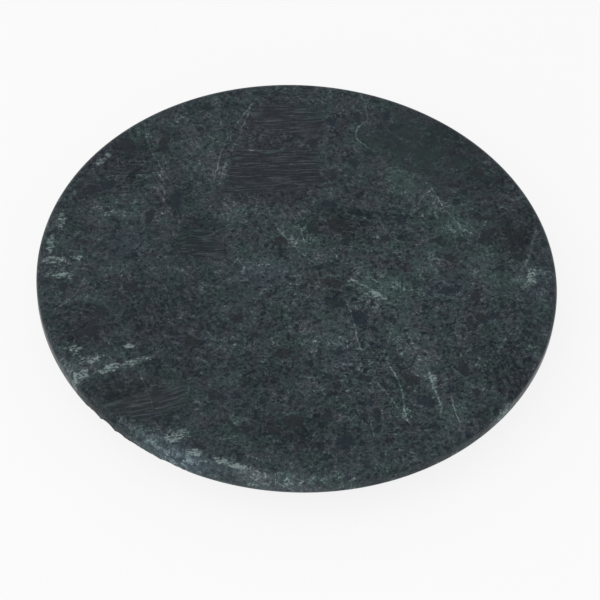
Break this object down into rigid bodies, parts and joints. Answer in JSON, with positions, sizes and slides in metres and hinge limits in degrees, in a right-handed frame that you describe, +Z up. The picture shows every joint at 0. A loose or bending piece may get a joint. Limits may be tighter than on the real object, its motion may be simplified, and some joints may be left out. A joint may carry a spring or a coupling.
{
  "type": "chakla rolling board",
  "caption": "Round polished green marble board for rolling dough, with rounded edges, raised on short turned stone feet with soft pads.",
  "frame": {"origin": "on the surface that the board stands on, under the middle of the slab", "axes": "+Z up through the middle of the slab, out of the rolling face; +Y towards the single rear foot; +X to the right of someone who stands in front, at -Y"},
  "size_m": [0.254, 0.254, 0.032],
  "materials": {
    "green_marble": "polished",
    "green_marble_feet": "satin",
    "stone_adhesive": "satin",
    "soft_pad": "matte"
  },
  "bodies": {
    "root": {"board_slab": "green_marble", "foot_rear": "green_marble_feet", "foot_front_left": "green_marble_feet", "foot_front_right": "green_marble_feet", "adhesive_rear": "stone_adhesive", "adhesive_front_left": "stone_adhesive", "adhesive_front_right": "stone_adhesive", "pad_rear": "soft_pad", "pad_front_left": "soft_pad", "pad_front_right": "soft_pad"}
  },
  "joints": []
}
